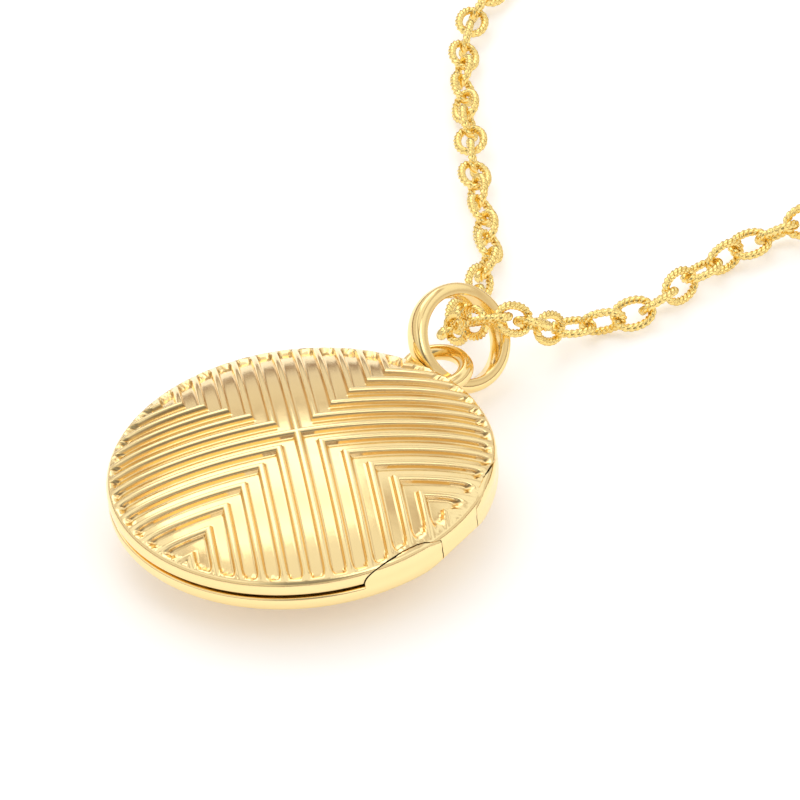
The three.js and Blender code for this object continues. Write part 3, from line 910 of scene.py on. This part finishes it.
def floor():
    """A white table that glows a little."""
    n = TABLE_SQUARES
    verts = [(TABLE_SIZE * (i / n - 0.5), TABLE_SIZE * (j / n - 0.5), 0.0)
             for i in range(n + 1) for j in range(n + 1)]
    faces = [(i * (n + 1) + j, (i + 1) * (n + 1) + j, (i + 1) * (n + 1) + j + 1, i * (n + 1) + j + 1)
             for i in range(n) for j in range(n)]
    mesh = bpy.data.meshes.new("table")
    mesh.from_pydata(verts, [], faces)
    obj = bpy.data.objects.new("table", mesh)
    bpy.context.scene.collection.objects.link(obj)
    material = bpy.data.materials.new("table_white")
    material.use_nodes = True
    shader = material.node_tree.nodes["Principled BSDF"]
    shader.inputs["Base Color"].default_value = (0.95, 0.95, 0.95, 1)
    shader.inputs["Roughness"].default_value = 0.8
    shader.inputs["Emission Color"].default_value = (1, 1, 1, 1)
    shader.inputs["Emission Strength"].default_value = TABLE_GLOW
    obj.data.materials.append(material)
    obj.location.z = -TABLE_DROP


def world():
    """A room with light and dark bands for the gold to reflect, and a plain white backdrop."""
    studio = bpy.data.worlds.new("studio")
    bpy.context.scene.world = studio
    studio.use_nodes = True
    nodes, links = studio.node_tree.nodes, studio.node_tree.links
    room = nodes["Background"]
    where = nodes.new("ShaderNodeTexCoord")
    split = nodes.new("ShaderNodeSeparateXYZ")
    links.new(where.outputs["Generated"], split.inputs[0])
    height = nodes.new("ShaderNodeMath")
    height.operation = "MULTIPLY_ADD"
    height.inputs[1].default_value = 0.5
    height.inputs[2].default_value = 0.5
    links.new(split.outputs["Z"], height.inputs[0])
    ramp = nodes.new("ShaderNodeValToRGB")
    elements = ramp.color_ramp.elements
    elements[0].position = ROOM_BANDS[0][0]
    elements[1].position = ROOM_BANDS[-1][0]
    for position, value in ROOM_BANDS[1:-1]:
        elements.new(position)
    for element, (position, value) in zip(elements, ROOM_BANDS):
        element.position = position
        element.color = (value ** DIM_RED, value ** DIM_GREEN, value, 1)
    links.new(height.outputs[0], ramp.inputs["Fac"])
    facing = nodes.new("ShaderNodeVectorMath")
    facing.operation = "DOT_PRODUCT"
    facing.inputs[1].default_value = DARK_WAY
    links.new(where.outputs["Generated"], facing.inputs[0])
    patch = nodes.new("ShaderNodeMapRange")
    patch.inputs["From Min"].default_value = DARK_FROM
    patch.inputs["From Max"].default_value = DARK_FULL
    patch.inputs["To Min"].default_value = 1.0
    patch.inputs["To Max"].default_value = DARKEST
    links.new(facing.outputs["Value"], patch.inputs["Value"])
    shade = nodes.new("ShaderNodeVectorMath")
    shade.operation = "SCALE"
    links.new(ramp.outputs["Color"], shade.inputs[0])
    links.new(patch.outputs["Result"], shade.inputs["Scale"])
    links.new(shade.outputs[0], room.inputs["Color"])
    room.inputs["Strength"].default_value = 1.0
    # beyond the table's edge the camera sees the backdrop
    backdrop = nodes.new("ShaderNodeBackground")
    backdrop.inputs["Color"].default_value = (1, 1, 1, 1)
    rays = nodes.new("ShaderNodeLightPath")
    seen = nodes.new("ShaderNodeMixShader")
    links.new(rays.outputs["Is Camera Ray"], seen.inputs[0])
    links.new(room.outputs[0], seen.inputs[1])
    links.new(backdrop.outputs[0], seen.inputs[2])
    links.new(seen.outputs[0], nodes["World Output"].inputs["Surface"])


def area(name, place, size, power):
    """A square area light that points at the model's middle."""
    data = bpy.data.lights.new(name, "AREA")
    data.shape = "RECTANGLE"
    data.size = data.size_y = size
    data.energy = power
    obj = bpy.data.objects.new(name, data)
    bpy.context.scene.collection.objects.link(obj)
    obj.location = place
    obj.rotation_euler = (-Vector(place)).to_track_quat("-Z", "Y").to_euler()


floor()
world()
area("key", (-0.25, 0.15, 0.4), 0.35, 0.38)
area("fill", (0.3, -0.1, 0.35), 0.2, 0.15)
bpy.context.scene.view_settings.view_transform = "Standard"
